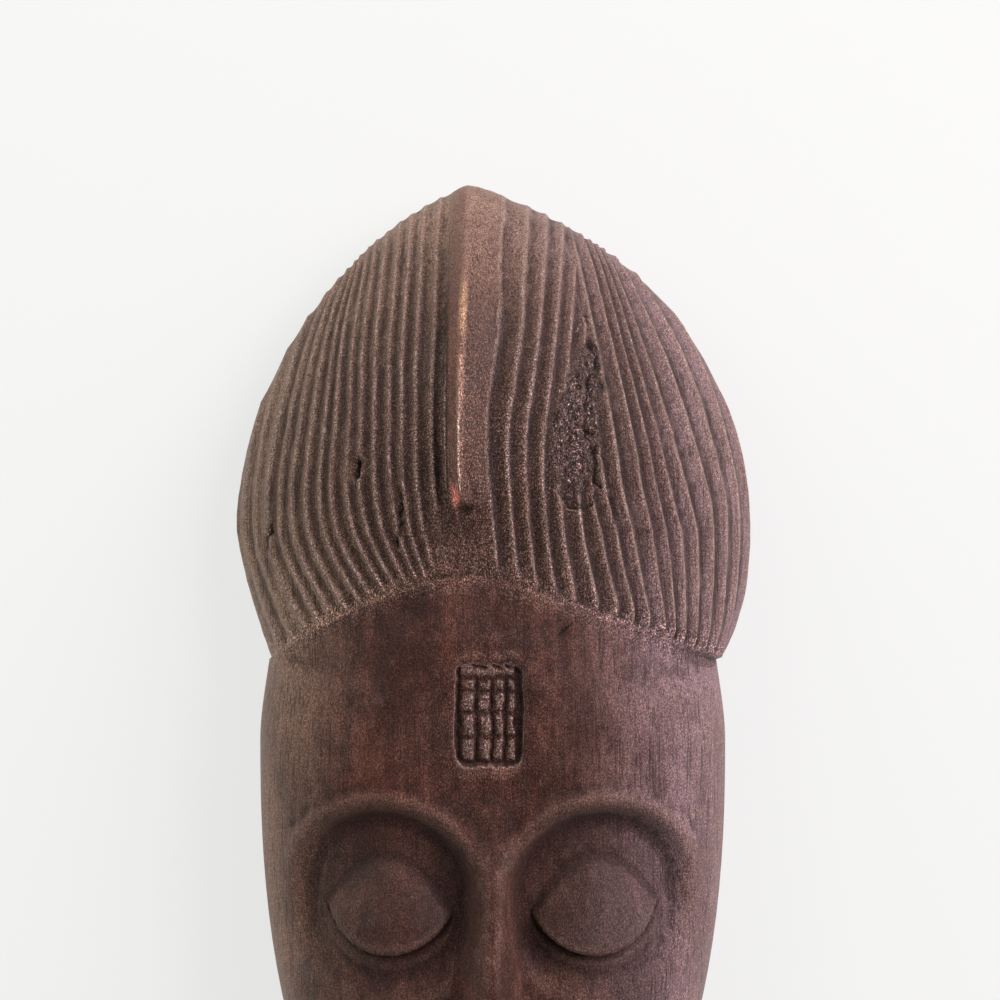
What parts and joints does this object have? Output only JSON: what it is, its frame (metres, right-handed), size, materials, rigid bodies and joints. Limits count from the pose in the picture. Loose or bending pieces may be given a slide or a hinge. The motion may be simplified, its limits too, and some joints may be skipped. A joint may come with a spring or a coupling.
{
  "type": "baule mask",
  "caption": "Carved dark wood face mask with a tall fluted hair cap, central crest, grid mark on the forehead, lowered lids and a hollow back.",
  "frame": {"origin": "centre of the mask's outline, on the flat back rim that it lies on", "axes": "+Y from the chin towards the crown, +Z out of the face, +X towards the right of the picture"},
  "size_m": [0.1818, 0.3738, 0.0849],
  "materials": {
    "wood": "dark stained and waxed, worn along the crest"
  },
  "bodies": {
    "root": {"mask": "wood"}
  },
  "joints": []
}
